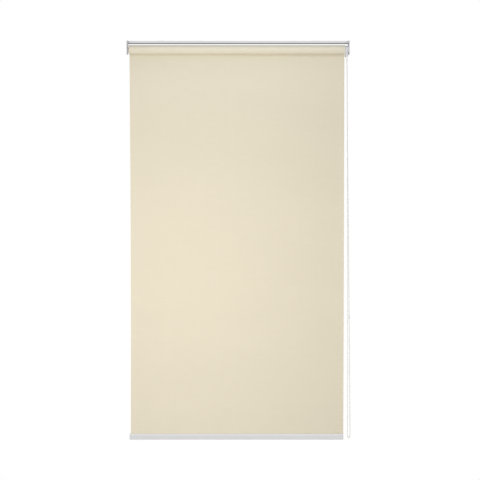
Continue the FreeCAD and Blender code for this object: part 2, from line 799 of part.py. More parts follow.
def chain():
    points = chain_points()
    slack = 0.998  # keeps the arcs of two neighbouring corners from meeting end to end
    bend = number(wheel_radius) * slack
    fixed = dict.fromkeys(wheel_corners + loop_corners, bend)
    path, radii = rounded_path(points, fixed)
    bead = number("bead_size/2")
    start = (points[1] - points[0]).normalize()
    section = Part.Wire(Part.Circle(points[0], start, bead).toShape())
    tube = path.makePipeShell([section], True, True)
    expected = math.pi * bead**2 * path.Length
    print("chain radii", [round(radius, 1) for radius in radii])
    print("chain length", round(path.Length, 1), "volume ratio", round(tube.Volume / expected, 5))
    solid("chain", tube)


def on_strand(name, run, middle_height, length, across):
    """A bored barrel round one strand, along the strand's own direction."""
    points = chain_points()
    top, bottom = (points[i] for i in run)
    way = (bottom - top).normalize()
    middle = top + way * ((middle_height - top.z) / way.z)
    start = middle - way * (length / 2)
    barrel = Part.makeCylinder(across / 2, length, start, way)
    ends = [e for e in barrel.Edges if isinstance(e.Curve, Part.Circle)]
    barrel = barrel.makeFillet(across / 6, ends)
    hole = Part.makeCylinder(number("bead_size/2 + body_gap"), length, start, way)
    print(name, "slides along", [repr(x) for x in way])
    solid(name, barrel.cut(hole))


def chain_pieces():
    stop_middle = number(f"{axis_height} - housing_drop - stop_play - stop_length/2")
    on_strand("chain_stop", front_run, stop_middle, number("stop_length"), number("stop_size"))
    on_strand("chain_connector", back_run, -number("connector_drop"), number("connector_length"),
              number("connector_size"))


# ---------------------------------------------------------------- the whole blind

headrail()
mounting_clip("mounting_clip_left", "(-ceiling_spacing/2)")
mounting_clip("mounting_clip_right", "(ceiling_spacing/2)")

left_bracket = bracket("left_bracket", f"{plate_left} - plate_thickness")
bush_hole = new_sketch(left_bracket, "YZ_Plane", f"{plate_left} - plate_thickness")
add_circle(bush_hole, "0", axis_height, "bush_barrel/2")
cut(left_bracket, bush_hole, "plate_thickness")

right_bracket = bracket("right_bracket", plate_right)
peg_hole = new_sketch(right_bracket, "YZ_Plane", plate_right)
add_outline(peg_hole, [
    ("-core_peg/2", f"{axis_height} - core_peg/2"),
    ("core_peg/2", f"{axis_height} - core_peg/2"),
    ("core_peg/2", f"{axis_height} + core_peg/2"),
    ("-core_peg/2", f"{axis_height} + core_peg/2"),
])
cut(right_bracket, peg_hole, "plate_thickness")

left_outside = "(-overall_width/2)"
left_cover = cover("left_cover", left_outside, f"{left_outside} + cover_wall")
soften(left_cover, left_outside, "cover_wall*0.8")
right_outside = "(overall_width/2)"
right_cover = cover("right_cover", f"{right_outside} - cover_depth", f"{right_outside} - cover_depth")
soften(right_cover, right_outside, "cover_wall*0.8")

end_screws("bracket_screws_left", f"{plate_left} - plate_thickness", 1)
end_screws("bracket_screws_right", f"{plate_right} + plate_thickness", -1)

idle_end()
roller()
hanging_fabric()
hem()
core_and_springs()
drive_crown()
chain_wheel()
drive_housing()
chain()
chain_pieces()
doc.recompute()

# ---------------------------------------------------------------- check and write

node_names = [
    "headrail", "mounting_clip_left", "mounting_clip_right",
    "left_bracket", "left_cover", "right_bracket", "right_cover",
    "bracket_screws_left", "bracket_screws_right", "pin_bush",
    "idle_plug", "idle_pin", "idle_pin_spring",
    "roller_tube", "fixing_tape", "wound_fabric", "fabric_panel",
    "hem_bar", "fabric_keder", "bar_cap_left", "bar_cap_right",
    "clutch_core", "core_retainer", "clutch_springs", "drive_crown",
    "chain_wheel", "drive_housing", "chain", "chain_stop", "chain_connector",
]
failed = [o.Name for o in doc.Objects if "Invalid" in o.State or "Error" in o.State]
if failed:
    sys.exit(f"these objects did not recompute: {failed}")
parts = [doc.getObjectsByLabel(name)[0] for name in node_names]
for part in parts:
    if part.Shape.isNull() or not part.Shape.isValid():
        sys.exit(f"{part.Label} has no valid shape")

os.makedirs("parts", exist_ok=True)
for part in parts:
    part.Shape.exportStep(f"parts/{part.Label}.step")
print(len(parts), "parts written")
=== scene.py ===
import bpy
import bmesh
import math
from mathutils import Matrix, Vector, noise


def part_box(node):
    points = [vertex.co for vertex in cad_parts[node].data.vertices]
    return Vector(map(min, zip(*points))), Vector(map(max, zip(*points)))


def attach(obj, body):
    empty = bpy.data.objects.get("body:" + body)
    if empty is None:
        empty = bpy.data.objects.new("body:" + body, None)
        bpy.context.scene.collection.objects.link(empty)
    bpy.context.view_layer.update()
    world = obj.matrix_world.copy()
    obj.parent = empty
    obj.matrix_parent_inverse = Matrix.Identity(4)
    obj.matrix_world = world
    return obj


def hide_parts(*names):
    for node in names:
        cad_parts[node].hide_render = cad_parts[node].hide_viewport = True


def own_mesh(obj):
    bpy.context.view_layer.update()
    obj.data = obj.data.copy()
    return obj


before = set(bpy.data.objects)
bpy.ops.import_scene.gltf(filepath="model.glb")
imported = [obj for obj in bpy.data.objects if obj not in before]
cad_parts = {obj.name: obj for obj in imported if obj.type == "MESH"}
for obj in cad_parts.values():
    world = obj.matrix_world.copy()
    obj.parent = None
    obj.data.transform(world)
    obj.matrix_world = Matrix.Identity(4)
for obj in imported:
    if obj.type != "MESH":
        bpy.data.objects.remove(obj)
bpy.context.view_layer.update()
scene = bpy.context.scene
mm = 0.001
print("frame loaded")

# camera: eye level a little above the middle of the blind, tipped down slightly
camera = {
    "spot": (0.0087, -6.0, -0.755), "tipDown": 1.33, "lens": 99.88, "sensor": 36.0, "far": 60.0,
}


def placeCamera():
    data = bpy.data.cameras.new("camera")
    data.lens = camera["lens"]
    data.sensor_width = camera["sensor"]
    data.clip_end = camera["far"]
    item = bpy.data.objects.new("camera", data)
    item.location = camera["spot"]
    item.rotation_euler = (math.radians(90.0 - camera["tipDown"]), 0.0, 0.0)
    scene.collection.objects.link(item)
    scene.camera = item
    bpy.context.view_layer.update()


placeCamera()


# nothing selected, object mode
def startClean():
    if bpy.context.object and bpy.context.object.mode != "OBJECT":
        bpy.ops.object.mode_set(mode="OBJECT")
    bpy.ops.object.select_all(action="DESELECT")


# nothing but this piece selected, and active
def choose(item):
    startClean()
    item.select_set(True)
    bpy.context.view_layer.objects.active = item


def nameIt(name):
    item = bpy.context.object
    item.name = name
    item.data.name = name
    return item


def editing(item):
    choose(item)
    bpy.ops.object.mode_set(mode="EDIT")
    return bmesh.from_edit_mesh(item.data)


# in edit mode: selects only the verts, edges or faces that pass
def pick(item, kind, test):
    bpy.ops.mesh.select_mode(type={"verts": "VERT", "edges": "EDGE", "faces": "FACE"}[kind])
    bpy.ops.mesh.select_all(action="DESELECT")
    mesh = bmesh.from_edit_mesh(item.data)
    for part in getattr(mesh, kind):
        if test(part):
            part.select_set(True)
    mesh.select_flush_mode()
    bmesh.update_edit_mesh(item.data)


def middleOf(part):
    return sum((v.co for v in part.verts), Vector()) / len(part.verts)


def runsAlong(edge, axis):
    step = edge.verts[1].co - edge.verts[0].co
    return step.length > 1e-7 and abs(step[axis]) > 0.999 * step.length


def addModifier(item, kind, **settings):
    choose(item)
    modifier = item.modifiers.new(kind.title(), kind)
    for key, value in settings.items():
        setattr(modifier, key, value)
    bpy.ops.object.modifier_apply(modifier=modifier.name)


def smooth(item, degrees=35.0):
    choose(item)
    bpy.ops.object.shade_smooth_by_angle(angle=math.radians(degrees))


def faceOut(item):
    editing(item)
    bpy.ops.mesh.select_all(action="SELECT")
    bpy.ops.mesh.remove_doubles(threshold=1e-6)
    bpy.ops.mesh.normals_make_consistent(inside=False)
    bpy.ops.object.mode_set(mode="OBJECT")


def applyPlace(item):
    choose(item)
    bpy.ops.object.transform_apply(location=True, rotation=True, scale=True)


def joined(items, name):
    startClean()
    for item in items:
        item.select_set(True)
    bpy.context.view_layer.objects.active = items[0]
    bpy.ops.object.join()
    return nameIt(name)


def dress(item, material):
    item.data.materials.clear()
    item.data.materials.append(material)


def finishPiece(item, body, slot, material, *nodes):
    dress(item, material)
    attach(item, body)
    if nodes:
        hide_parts(*nodes)


def newNode(tree, kind, **settings):
    node = tree.nodes.new("ShaderNode" + kind)
    for key, value in settings.items():
        setattr(node, key, value)
    return node


def feed(tree, source, target):
    tree.links.new(source, target)


def calc(tree, operation, *values):
    node = newNode(tree, "Math", operation=operation)
    for i, value in enumerate(values):
        if isinstance(value, (int, float)):
            node.inputs[i].default_value = value
        else:
            feed(tree, value, node.inputs[i])
    return node.outputs[0]


def stretched(tree, vector, scale):
    node = newNode(tree, "Mapping", vector_type="POINT")
    feed(tree, vector, node.inputs["Vector"])
    node.inputs["Scale"].default_value = scale
    return node.outputs["Vector"]


def noiseOf(tree, vector, scale, detail=2.0, rough=0.5):
    node = newNode(tree, "TexNoise")
    feed(tree, vector, node.inputs["Vector"])
    node.inputs["Scale"].default_value = scale
    node.inputs["Detail"].default_value = detail
    node.inputs["Roughness"].default_value = rough
    return node.outputs["Fac"]


def remap(tree, value, low, high, newLow, newHigh):
    node = newNode(tree, "MapRange")
    feed(tree, value, node.inputs["Value"])
    ends = {"From Min": low, "From Max": high, "To Min": newLow, "To Max": newHigh}
    for label, number in ends.items():
        node.inputs[label].default_value = number
    return node.outputs["Result"]


def blendColour(tree, share, first, second, mode="MIX"):
    node = newNode(tree, "Mix", data_type="RGBA", blend_type=mode)
    if isinstance(share, (int, float)):
        node.inputs["Factor"].default_value = share
    else:
        feed(tree, share, node.inputs["Factor"])
    for label, value in ((6, first), (7, second)):
        if isinstance(value, tuple):
            node.inputs[label].default_value = (*value, 1.0)
        else:
            feed(tree, value, node.inputs[label])
    return node.outputs[2]


# a shader node group: inputs are (label, default), a vector where the default is None
def newGroup(name, inputs, outputs):
    group = bpy.data.node_groups.new(name, "ShaderNodeTree")
    for label, default in inputs:
        kind = "NodeSocketVector" if default is None else "NodeSocketFloat"
        socket = group.interface.new_socket(label, in_out="INPUT", socket_type=kind)
        if default is not None:
            socket.default_value = default
    for label in outputs:
        group.interface.new_socket(label, in_out="OUTPUT", socket_type="NodeSocketFloat")
    return group, group.nodes.new("NodeGroupInput"), group.nodes.new("NodeGroupOutput")


def useGroup(tree, group, vector, **values):
    node = newNode(tree, "Group", node_tree=group)
    feed(tree, vector, node.inputs[0])
    for label, value in values.items():
        node.inputs[label].default_value = value
    return node.outputs


weaveLook = {
    "wobbleScale": 90.0,              # yarns wander a little
    "wobble": 0.00018,
    "under": 0.6,                     # a yarn's level, and how far it goes over and under
    "over": 0.4,
    "weftRuns": (14.0, 900.0, 1.0),   # uneven thickness along each yarn
    "warpRuns": (900.0, 10.0, 1.0),
    "slubFrom": 0.52,
    "slubFull": 0.78,
    "slubHeight": 0.9,
    "unevenness": 0.35,
    "evenness": 0.65,
}


# plain weave with uneven yarn: Threads and Slubs are 0 to 1, Height feeds a bump; Threads, the
# weave's height, also sets the painted shade where yarns dip and between them
def weaveGroup():
    group, given, out = newGroup(
        "plainWeave",
        [("Place", None), ("Pitch", 0.00055), ("Slubs", 1.0)],
        ["Threads", "Slubs", "Height"],
    )
    wobble = newNode(group, "TexNoise")
    feed(group, given.outputs["Place"], wobble.inputs["Vector"])
    wobble.inputs["Scale"].default_value = weaveLook["wobbleScale"]
    wobble.inputs["Detail"].default_value = 1.0
    moved = newNode(group, "VectorMath", operation="SCALE")
    feed(group, wobble.outputs["Color"], moved.inputs[0])
    moved.inputs["Scale"].default_value = weaveLook["wobble"]
    place = newNode(group, "VectorMath", operation="ADD")
    feed(group, given.outputs["Place"], place.inputs[0])
    feed(group, moved.outputs[0], place.inputs[1])
    parts = newNode(group, "SeparateXYZ")
    feed(group, place.outputs[0], parts.inputs[0])
    waves = []
    for axis in ("X", "Y"):
        turns = calc(group, "DIVIDE", parts.outputs[axis], given.outputs["Pitch"])
        angle = calc(group, "MULTIPLY", turns, math.pi)
        waves.append(calc(group, "SINE", angle))
    over = calc(group, "MULTIPLY", waves[0], waves[1])  # which yarn is on top
    ridges = [calc(group, "ABSOLUTE", wave) for wave in waves]
    level, swing = weaveLook["under"], weaveLook["over"]
    warpLevel = calc(group, "MULTIPLY_ADD", over, swing, level)
    weftLevel = calc(group, "MULTIPLY_ADD", over, -swing, level)
    warp = calc(group, "MULTIPLY", ridges[0], warpLevel)
    weft = calc(group, "MULTIPLY", ridges[1], weftLevel)
    threads = calc(group, "MAXIMUM", warp, weft)
    weftPlace = stretched(group, given.outputs["Place"], weaveLook["weftRuns"])
    warpPlace = stretched(group, given.outputs["Place"], weaveLook["warpRuns"])
    weftYarn = noiseOf(group, weftPlace, 1.0, 3.0, 0.6)
    warpYarn = noiseOf(group, warpPlace, 1.0, 2.0, 0.5)
    thick = remap(group, weftYarn, weaveLook["slubFrom"], weaveLook["slubFull"], 0.0, 1.0)
    slubs = calc(group, "MULTIPLY", thick, given.outputs["Slubs"])
    bothYarns = calc(group, "ADD", weftYarn, warpYarn)
    yarns = calc(group, "MULTIPLY", bothYarns, weaveLook["unevenness"])
    raised = calc(group, "MULTIPLY", slubs, weaveLook["slubHeight"])
    height = calc(group, "ADD", calc(group, "ADD", threads, raised), yarns)
    strength = calc(group, "ADD", yarns, weaveLook["evenness"])
    feed(group, calc(group, "MULTIPLY", threads, strength), out.inputs["Threads"])
    feed(group, slubs, out.inputs["Slubs"])
    feed(group, height, out.inputs["Height"])
    return group


# fine die lines along X on extruded aluminium
def dieLinesGroup():
    inputs = [("Place", None), ("Strength", 1.0)]
    group, given, out = newGroup("dieLines", inputs, ["Lines", "Patches"])
    finePlace = stretched(group, given.outputs["Place"], (1.6, 2600.0, 2600.0))
    broadPlace = stretched(group, given.outputs["Place"], (0.8, 420.0, 420.0))
    fine = noiseOf(group, finePlace, 1.0, 3.0, 0.7)
    broad = noiseOf(group, broadPlace, 1.0, 2.0, 0.5)
    lines = calc(group, "MULTIPLY", calc(group, "ADD", fine, broad), 0.5)
    feed(group, calc(group, "MULTIPLY", lines, given.outputs["Strength"]), out.inputs["Lines"])
    feed(group, noiseOf(group, given.outputs["Place"], 9.0, 3.0, 0.6), out.inputs["Patches"])
    return group


# spark-eroded grain of a moulded part, with a slow drift in gloss
def mouldGrainGroup():
    inputs = [("Place", None), ("Size", 2400.0)]
    group, given, out = newGroup("mouldGrain", inputs, ["Grain", "Drift"])
    grain = newNode(group, "TexNoise")
    feed(group, given.outputs["Place"], grain.inputs["Vector"])
    feed(group, given.outputs["Size"], grain.inputs["Scale"])
    grain.inputs["Detail"].default_value = 3.0
    grain.inputs["Roughness"].default_value = 0.65
    feed(group, grain.outputs["Fac"], out.inputs["Grain"])
    feed(group, noiseOf(group, given.outputs["Place"], 30.0, 3.0, 0.6), out.inputs["Drift"])
    return group


# worn edges, and dust that settles on what faces up
def ageGroup():
    inputs = [("Place", None), ("Wear", 0.5), ("Dust", 0.5)]
    group, given, out = newGroup("wearAndDust", inputs, ["Wear", "Dust"])
    surface = newNode(group, "NewGeometry")
    rough = noiseOf(group, given.outputs["Place"], 260.0, 4.0, 0.7)
    edge = remap(group, surface.outputs["Pointiness"], 0.51, 0.6, 0.0, 1.0)
    broken = remap(group, rough, 0.42, 0.68, 0.0, 1.0)
    worn = calc(group, "MULTIPLY", calc(group, "MULTIPLY", edge, broken), given.outputs["Wear"])
    facing = newNode(group, "SeparateXYZ")
    feed(group, surface.outputs["Normal"], facing.inputs[0])
    upward = remap(group, facing.outputs["Z"], 0.35, 0.95, 0.0, 1.0)
    clumps = noiseOf(group, given.outputs["Place"], 70.0, 5.0, 0.7)
    settled = calc(group, "MULTIPLY", upward, clumps)
    feed(group, worn, out.inputs["Wear"])
    feed(group, calc(group, "MULTIPLY", settled, given.outputs["Dust"]), out.inputs["Dust"])
    return group


weaveNodes = weaveGroup()
lineNodes = dieLinesGroup()
grainNodes = mouldGrainGroup()
ageNodes = ageGroup()


def newMaterial(name, **sockets):
    material = bpy.data.materials.new(name)
    material.use_nodes = True
    tree = material.node_tree
    shader = tree.nodes["Principled BSDF"]
    for label, value in sockets.items():
        shader.inputs[label.replace("_", " ")].default_value = value
    place = newNode(tree, "TexCoord").outputs["Object"]
    return material, tree, shader, place


def bump(tree, shader, height, strength, distance):
    node = newNode(tree, "Bump")
    node.inputs["Strength"].default_value = strength
    node.inputs["Distance"].default_value = distance
    feed(tree, height, node.inputs["Height"])
    feed(tree, node.outputs["Normal"], shader.inputs["Normal"])


cloth = {
    "yarn": (0.785, 0.738, 0.605),
    # gap: the yarn colour darkened, painted shade where yarns dip under and between one another
    "gap": (0.632, 0.578, 0.450),
    "slub": (0.840, 0.803, 0.687),
    "pitch": 0.00055,     # yarn to yarn
    "slubShare": 0.35,    # how far a slub pales the yarn
    "slowShade": 0.982,   # darkest of the slow drift in colour
    "bump": 0.5,
    "bumpDepth": 0.00012,
}
dustColours = {"metal": (0.42, 0.40, 0.37), "plastic": (0.46, 0.44, 0.41)}


# the blind's cloth; on the roll the weave follows the surface by its map
def clothMaterial(name, onUv):
    material, tree, shader, place = newMaterial(
        name, Sheen_Weight=0.12, Sheen_Roughness=0.6, Specular_IOR_Level=0.2
    )
    if onUv:
        flat = newNode(tree, "UVMap", uv_map="clothMap").outputs["UV"]
    else:
        parts = newNode(tree, "SeparateXYZ")
        feed(tree, place, parts.inputs[0])
        both = newNode(tree, "CombineXYZ")
        feed(tree, parts.outputs["X"], both.inputs["X"])
        feed(tree, parts.outputs["Z"], both.inputs["Y"])
        flat = both.outputs[0]
    weave = useGroup(tree, weaveNodes, flat, Pitch=cloth["pitch"], Slubs=1.0)
    # painted shade: the cloth darkens towards the gap colour where the weave lies low
    threads = blendColour(tree, weave["Threads"], cloth["gap"], cloth["yarn"])
    pale = calc(tree, "MULTIPLY", weave["Slubs"], cloth["slubShare"])
    colour = blendColour(tree, pale, threads, cloth["slub"])
    slow = noiseOf(tree, stretched(tree, flat, (1.5, 5.0, 1.0)), 1.0, 3.0, 0.5)
    shade = remap(tree, slow, 0.3, 0.7, cloth["slowShade"], 1.0)
    grey = newNode(tree, "CombineColor")
    for channel in ("Red", "Green", "Blue"):
        feed(tree, shade, grey.inputs[channel])
    colour = blendColour(tree, 1.0, colour, grey.outputs[0], "MULTIPLY")
    feed(tree, colour, shader.inputs["Base Color"])
    feed(tree, remap(tree, weave["Threads"], 0.0, 1.0, 0.95, 0.78), shader.inputs["Roughness"])
    bump(tree, shader, weave["Height"], cloth["bump"], cloth["bumpDepth"])
    return material


# extruded aluminium: die lines, worn edges and a little dust
def metalMaterial(name, base, worn, rough, lineDepth, wear=0.5, dust=0.3):
    material, tree, shader, place = newMaterial(name, Metallic=1.0)
    lines = useGroup(tree, lineNodes, place, Strength=1.0)
    age = useGroup(tree, ageNodes, place, Wear=wear, Dust=dust)
    dark = tuple(c * 0.93 for c in base)
    colour = blendColour(tree, lines["Patches"], dark, base)
    colour = blendColour(tree, age["Wear"], colour, worn)
    colour = blendColour(tree, age["Dust"], colour, dustColours["metal"])
    feed(tree, colour, shader.inputs["Base Color"])
    gloss = remap(tree, lines["Lines"], 0.25, 0.75, rough - 0.05, rough + 0.07)
    dull = calc(tree, "MULTIPLY", age["Dust"], 0.3)
    feed(tree, calc(tree, "ADD", gloss, dull), shader.inputs["Roughness"])
    bump(tree, shader, lines["Lines"], lineDepth, 0.00004)
    return material


# moulded or coated surface: fine grain, rubbed edges and a little dust
def plasticMaterial(name, base, rough, grainDepth, size=2400.0, wear=0.35, dust=0.3, **sockets):
    material, tree, shader, place = newMaterial(name, **sockets)
    grain = useGroup(tree, grainNodes, place, Size=size)
    age = useGroup(tree, ageNodes, place, Wear=wear, Dust=dust)
    deep = tuple(c * 0.94 for c in base)
    pale = tuple(min(1.0, c * 1.08) for c in base)
    colour = blendColour(tree, grain["Drift"], deep, base)
    colour = blendColour(tree, age["Wear"], colour, pale)
    colour = blendColour(tree, age["Dust"], colour, dustColours["plastic"])
    feed(tree, colour, shader.inputs["Base Color"])
    gloss = remap(tree, grain["Drift"], 0.3, 0.7, rough - 0.05, rough + 0.06)
    feed(tree, gloss, shader.inputs["Roughness"])
    bump(tree, shader, grain["Grain"], grainDepth, 0.00005)
    return material


# plated sheet and wire: cloudy spangle and fine scratches
def zincMaterial(name, base, rough):
    material, tree, shader, place = newMaterial(name, Metallic=1.0)
    cells = newNode(tree, "TexVoronoi", feature="F1")
    feed(tree, place, cells.inputs["Vector"])
    cells.inputs["Scale"].default_value = 380.0
    cloud = noiseOf(tree, place, 160.0, 4.0, 0.65)
    mix = calc(tree, "MULTIPLY", calc(tree, "ADD", cells.outputs["Distance"], cloud), 0.6)
    colour = blendColour(tree, mix, tuple(c * 0.86 for c in base), base)
    feed(tree, colour, shader.inputs["Base Color"])
    feed(tree, remap(tree, cloud, 0.3, 0.7, rough - 0.08, rough + 0.1), shader.inputs["Roughness"])
    scratches = noiseOf(tree, stretched(tree, place, (900.0, 5000.0, 900.0)), 1.0, 2.0, 0.7)
    bump(tree, shader, scratches, 0.15, 0.00003)
    return material


hangingCloth = clothMaterial("hangingCloth", False)
woundCloth = clothMaterial("woundCloth", True)
railMetal = metalMaterial("railAnodised", (0.70, 0.70, 0.715), (0.80, 0.80, 0.80), 0.38, 0.35)
hemMetal = metalMaterial("hemAnodised", (0.75, 0.75, 0.76), (0.80, 0.80, 0.80), 0.36, 0.35)
tubeMetal = metalMaterial("tubeMill", (0.60, 0.61, 0.62), (0.75, 0.75, 0.75), 0.32, 0.5, dust=0.0)
platePaint = plasticMaterial(
    "platePowderCoat", (0.60, 0.60, 0.61), 0.48, 0.35, size=1500.0, Coat_Weight=0.15
)
coverPlastic = plasticMaterial("coverMoulding", (0.70, 0.70, 0.71), 0.42, 0.3)
guardPlastic = plasticMaterial("guardMoulding", (0.60, 0.60, 0.61), 0.44, 0.3)
capPlastic = plasticMaterial("capMoulding", (0.62, 0.62, 0.63), 0.42, 0.3)
idlePlastic = plasticMaterial("idleMoulding", (0.66, 0.66, 0.65), 0.5, 0.25, dust=0.1)
clutchPlastic = plasticMaterial("clutchNylon", (0.70, 0.70, 0.68), 0.5, 0.25, dust=0.0)
kederPlastic = plasticMaterial("kederStrip", (0.72, 0.72, 0.70), 0.3, 0.15, dust=0.0)
tapePlastic = plasticMaterial("clothTape", (0.70, 0.68, 0.60), 0.55, 0.3, dust=0.0)
chainPlastic = plasticMaterial(
    "chainBeads", (0.83, 0.83, 0.82), 0.26, 0.12, size=1200.0, wear=0.2, dust=0.1
)
joinerPlastic = plasticMaterial(
    "chainJoiner", (0.95, 0.95, 0.95), 0.3, 0.1, wear=0.2, dust=0.05,
    Coat_Weight=0.3, Coat_Roughness=0.1,
)
zincPlate = zincMaterial("zincPlate", (0.62, 0.63, 0.65), 0.34)
brightSteel = zincMaterial("brightSteel", (0.55, 0.55, 0.57), 0.26)
springSteel = zincMaterial("springSteel", (0.36, 0.36, 0.38), 0.3)
print("materials made")

# chain: beads on a cord, hung over the wheel
chain = {
    "plane": 0.489,
    "beadRadius": 0.00225,
    "pitch": 0.006,
    "cordRadius": 0.0006,
    "beadSides": 10,
    "beadRings": 6,
    "route": [
        (0.0, -0.001, -0.02663),
        (0.0, -0.00554, -0.02663),
        (0.0, -0.01337, -0.03446),
        (0.0, -0.01337, -0.04554),
        (0.0043, -0.0131, -1.4),
        (0.0048, -0.0116, -1.76884),
        (0.0048, -0.0116, -1.77992),
        (0.0087, -0.00481, -1.78775),
        (0.0142, 0.00481, -1.78775),
        (0.0181, 0.0116, -1.77992),
        (0.0181, 0.0116, -1.76884),
        (0.0146, 0.0131, -1.4),
        (0.0, 0.01337, -0.04554),
        (0.0, 0.01337, -0.03446),
        (0.0, 0.00554, -0.02663),
        (0.0, 0.001, -0.02663),
    ],
}


def routeCurve(name):
    data = bpy.data.curves.new(name, "CURVE")
    data.dimensions = "3D"
    data.resolution_u = 20
    spline = data.splines.new("NURBS")
    spline.points.add(len(chain["route"]) - 1)
    for point, (across, back, up) in zip(spline.points, chain["route"]):
        point.co = (chain["plane"] + across, back, up, 1.0)
    spline.order_u = 3
    spline.use_endpoint_u = True
    item = bpy.data.objects.new(name, data)
    scene.collection.objects.link(item)
    return item


def lineOf(item):
    mesh = bpy.data.meshes.new_from_object(item)
    line = [v.co.copy() for v in mesh.vertices]
    bpy.data.meshes.remove(mesh)
    return line


# points at these distances along a polyline
def along(line, spots):
    found = []
    step, done = 0, 0.0
    for spot in spots:
        while step < len(line) - 2 and done + (line[step + 1] - line[step]).length < spot:
            done += (line[step + 1] - line[step]).length
            step += 1
        length = (line[step + 1] - line[step]).length
        found.append(line[step].lerp(line[step + 1], (spot - done) / length))
    return found


def makeChain():
    curve = routeCurve("chainRoute")
    line = lineOf(curve)
    length = sum((b - a).length for a, b in zip(line, line[1:]))
    gap = (line[0] - line[-1]).length  # closed over the wheel's top by the cord alone
    count = round((length + gap) / chain["pitch"])
    pitch = (length + gap) / count
    spots = along(line, [pitch / 2 - gap / 2 + i * pitch for i in range(count)])

    startClean()
    bpy.ops.mesh.primitive_uv_sphere_add(
        segments=chain["beadSides"], ring_count=chain["beadRings"], radius=chain["beadRadius"]
    )
    bead = nameIt("bead")
    source = bmesh.new()
    source.from_mesh(bead.data)
    beads = bmesh.new()
    for spot in spots:
        twins = {v: beads.verts.new(v.co + spot) for v in source.verts}
        for face in source.faces:
            beads.faces.new([twins[v] for v in face.verts])
    mesh = bpy.data.meshes.new("bead_chain")
    beads.to_mesh(mesh)
    beads.free()
    source.free()
    bpy.data.objects.remove(bead)
    chainMesh = bpy.data.objects.new("bead_chain", mesh)
    scene.collection.objects.link(chainMesh)

    curve.data.bevel_depth = chain["cordRadius"]
    curve.data.bevel_resolution = 1
    choose(curve)
    bpy.ops.object.convert(target="MESH")
    item = joined([chainMesh, curve], "bead_chain")
    smooth(item, 180.0)
    return item, line, length


beadChain, chainLine, chainLength = makeChain()
finishPiece(beadChain, "frame", "chain_plastic", chainPlastic, "chain")


# the stop and the joiner are turned barrels with a waist, bored for the chain;
# a profile is (share of the length, radius) from one end to the other,
# and the strand is the two route points, top then bottom, that a barrel runs between
barrel = {"sides": 28, "bore": 0.00256, "lengthShare": 0.985}
stopShape = [
    (0.0, 0.0030), (0.03, 0.0034), (0.12, 0.0038), (0.3, 0.0041), (0.44, 0.0042), (0.455, 0.0039),
    (0.545, 0.0039), (0.56, 0.0042), (0.7, 0.0041), (0.88, 0.0038), (0.97, 0.0034), (1.0, 0.0030),
]
joinerShape = [
    (0.0, 0.0029), (0.02, 0.0032), (0.08, 0.0035), (0.16, 0.0036), (0.30, 0.0036), (0.33, 0.0033),
    (0.36, 0.0036), (0.47, 0.0036), (0.485, 0.0034), (0.515, 0.0034), (0.53, 0.0036),
    (0.64, 0.0036), (0.67, 0.0033), (0.70, 0.0036), (0.84, 0.0036), (0.92, 0.0035),
    (0.98, 0.0032), (1.0, 0.0029),
]


def turnedBarrel(name, node, profile, strand):
    low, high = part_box(node)
    top, bottom = [Vector(chain["route"][i]) for i in strand]
    way = (top - bottom).normalized()
    middle = (low + high) / 2
    length = (high.z - low.z) * barrel["lengthShare"]
    bore = barrel["bore"]
    startClean()
    bpy.ops.mesh.primitive_circle_add(
        vertices=barrel["sides"], radius=bore, location=(0, 0, -length / 2), fill_type="NOTHING"
    )
    item = nameIt(name)
    editing(item)
    bpy.ops.mesh.select_all(action="SELECT")
    radius, height = bore, -length / 2
    outline = [*profile, (1.0, bore), (0.0, bore)]
    for share, wanted in outline:
        rise = length * (share - 0.5) - height
        bpy.ops.mesh.extrude_region_move(TRANSFORM_OT_translate={"value": (0, 0, rise)})
        grow = wanted / radius
        bpy.ops.transform.resize(value=(grow, grow, 1.0), center_override=(0, 0, height + rise))
        radius, height = wanted, height + rise
    bpy.ops.object.mode_set(mode="OBJECT")
    faceOut(item)
    turn = way.to_track_quat("Z", "Y").to_matrix().to_4x4()
    item.matrix_world = Matrix.Translation(middle) @ turn
    applyPlace(item)
    smooth(item, 40.0)
    return item


stopBead = turnedBarrel("stop_bead", "chain_stop", stopShape, (3, 4))
finishPiece(stopBead, "chain_stop", "connector_plastic", joinerPlastic, "chain_stop")
joiner = turnedBarrel("chain_joiner", "chain_connector", joinerShape, (12, 11))
finishPiece(joiner, "chain_connector", "connector_plastic", joinerPlastic, "chain_connector")
print("chain hung", round(chainLength, 3))

tubeLow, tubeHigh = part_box("roller_tube")
rollLow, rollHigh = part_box("wound_fabric")
barLow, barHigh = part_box("hem_bar")
axisHeight = (rollLow.z + rollHigh.z) / 2
rollRadius = (rollHigh.z - rollLow.z) / 2

sheet = {
    "left": rollLow.x,
    "right": rollHigh.x,
    "thick": 0.00038,
    "columns": 64,
    "rows": 128,
    "curl": 0.0016,       # how far the side edges bow forward
    "curlReach": 0.035,
    "wave": 0.0007,       # slow unevenness
    "leftDraw": 0.0046,   # how far the side edges draw in on the way down
    "rightDraw": 0.0019,
    "drawTurn": 0.78,     # the left edge is furthest in at about two thirds of the way down
    "foot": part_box("fabric_panel")[0].z,
}


# where the cloth's middle lies, front to back, at one spot of its face
def clothDepth(x, z):
    top, foot = axisHeight, sheet["foot"]
    down = (top - z) / (top - foot)
    start = rollRadius - sheet["thick"] / 2
    end = (barLow.y + barHigh.y) / 2
    free = math.sin(math.pi * min(1.0, max(0.0, down))) ** 2
    fromEdge = min(x - sheet["left"], sheet["right"] - x)
    curl = sheet["curl"] * math.exp(-((fromEdge / sheet["curlReach"]) ** 2))
    wave = sheet["wave"] * noise.noise(Vector((x * 3.1, z * 1.3, 4.0)))
    return start + (end - start) * down - free * (curl + wave)


# the hanging cloth draws in a little between the roll and the bar
def clothAcross(x, z):
    down = max(0.0, (axisHeight - z) / (axisHeight - sheet["foot"]))
    share = (x - sheet["left"]) / (sheet["right"] - sheet["left"])
    leftIn = sheet["leftDraw"] * math.sin(math.pi * sheet["drawTurn"] * down)
    rightIn = sheet["rightDraw"] * down ** 1.5
    return x + leftIn * (1.0 - share) ** 3 - rightIn * share**3


